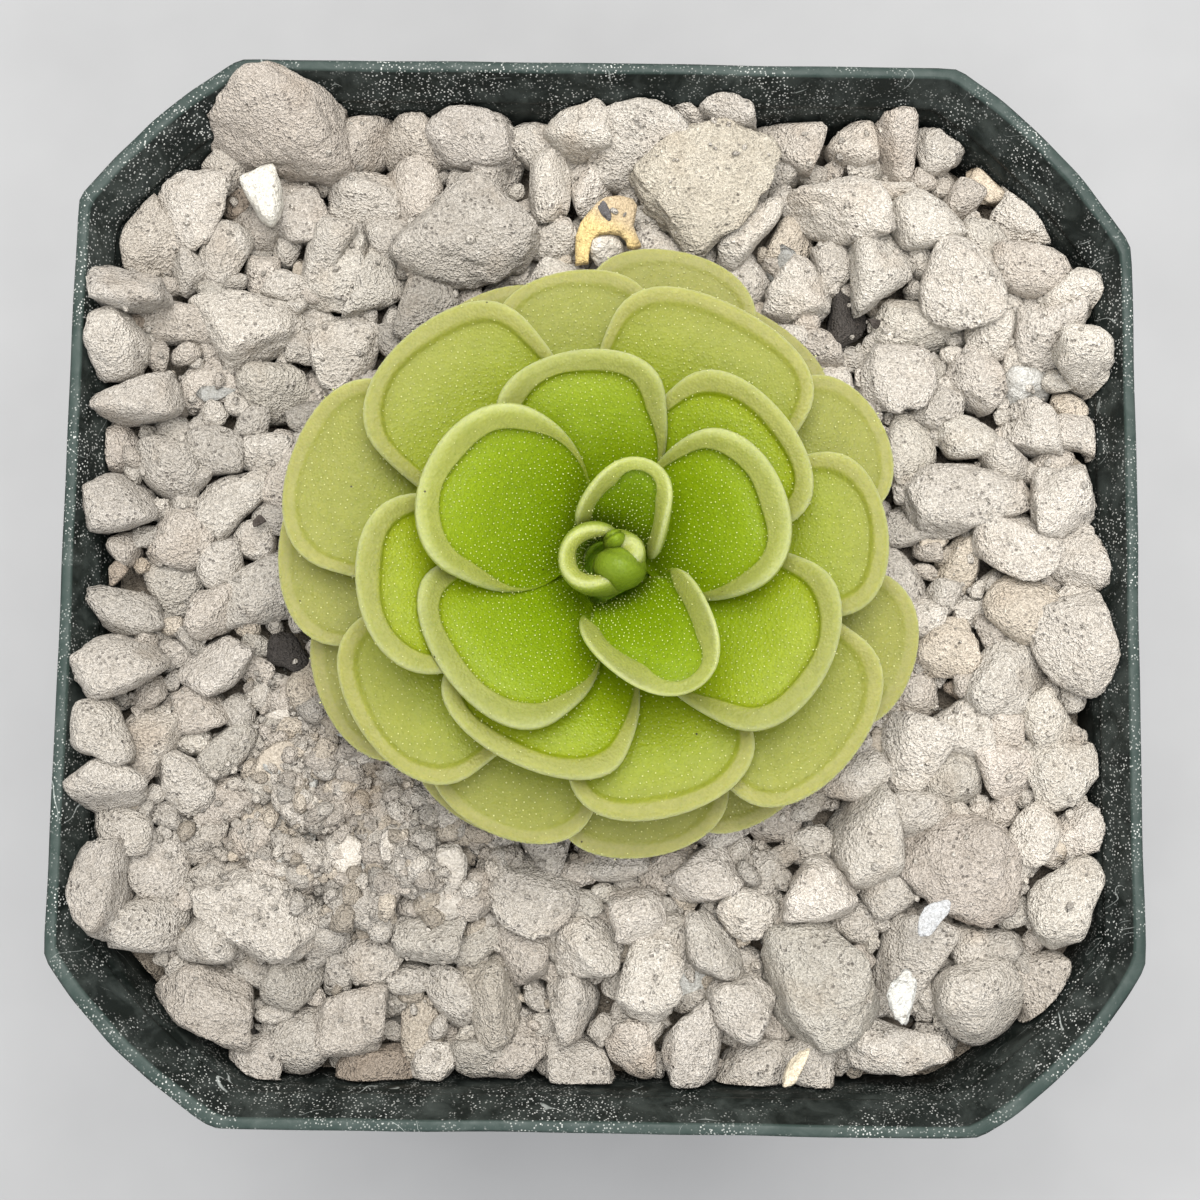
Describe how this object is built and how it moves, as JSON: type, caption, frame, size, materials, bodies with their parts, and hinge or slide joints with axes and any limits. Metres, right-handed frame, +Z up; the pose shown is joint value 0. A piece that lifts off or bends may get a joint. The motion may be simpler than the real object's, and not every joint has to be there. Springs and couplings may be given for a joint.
{
  "type": "potted butterwort",
  "caption": "Carnivorous rosette plant with fleshy round leaves and rolled margins, growing in gravel in a square plastic nursery pot with cut corners.",
  "frame": {"origin": "middle of the pot's underside, where it stands", "axes": "+Z up along the pot's height, +X to the right and +Y to the back of the pot as seen from its front wall"},
  "size_m": [0.076, 0.076, 0.089],
  "materials": {
    "pot_plastic": "dark green, thin and slightly shiny, with water spots",
    "gravel_stone": "matt, rough, pale pumice and mixed pebbles",
    "young_leaf": "fleshy, saturated yellow-green, wet-looking glands",
    "inner_leaf": "fleshy, yellow-green with a paler rolled margin",
    "middle_leaf": "fleshy, pale yellow-green",
    "outer_leaf": "fleshy, palest yellow-green, thin margin",
    "stem": "fleshy, green, hidden under the leaves"
  },
  "bodies": {
    "root": {"pot": "pot_plastic", "gravel": "gravel_stone", "leaf_01": "young_leaf", "leaf_02": "young_leaf", "leaf_03": "young_leaf", "leaf_04": "young_leaf", "leaf_05": "inner_leaf", "leaf_06": "inner_leaf", "leaf_07": "inner_leaf", "leaf_08": "inner_leaf", "leaf_09": "inner_leaf", "leaf_10": "inner_leaf", "leaf_11": "inner_leaf", "leaf_12": "inner_leaf", "leaf_13": "middle_leaf", "leaf_14": "middle_leaf", "leaf_15": "middle_leaf", "leaf_16": "middle_leaf", "leaf_17": "middle_leaf", "leaf_18": "middle_leaf", "leaf_19": "middle_leaf", "leaf_20": "middle_leaf", "leaf_21": "middle_leaf", "leaf_22": "middle_leaf", "leaf_23": "outer_leaf", "leaf_24": "outer_leaf", "leaf_25": "outer_leaf", "leaf_26": "outer_leaf", "leaf_27": "outer_leaf", "leaf_28": "outer_leaf", "leaf_29": "outer_leaf", "leaf_30": "outer_leaf", "leaf_31": "outer_leaf", "crown": "stem"}
  },
  "joints": []
}
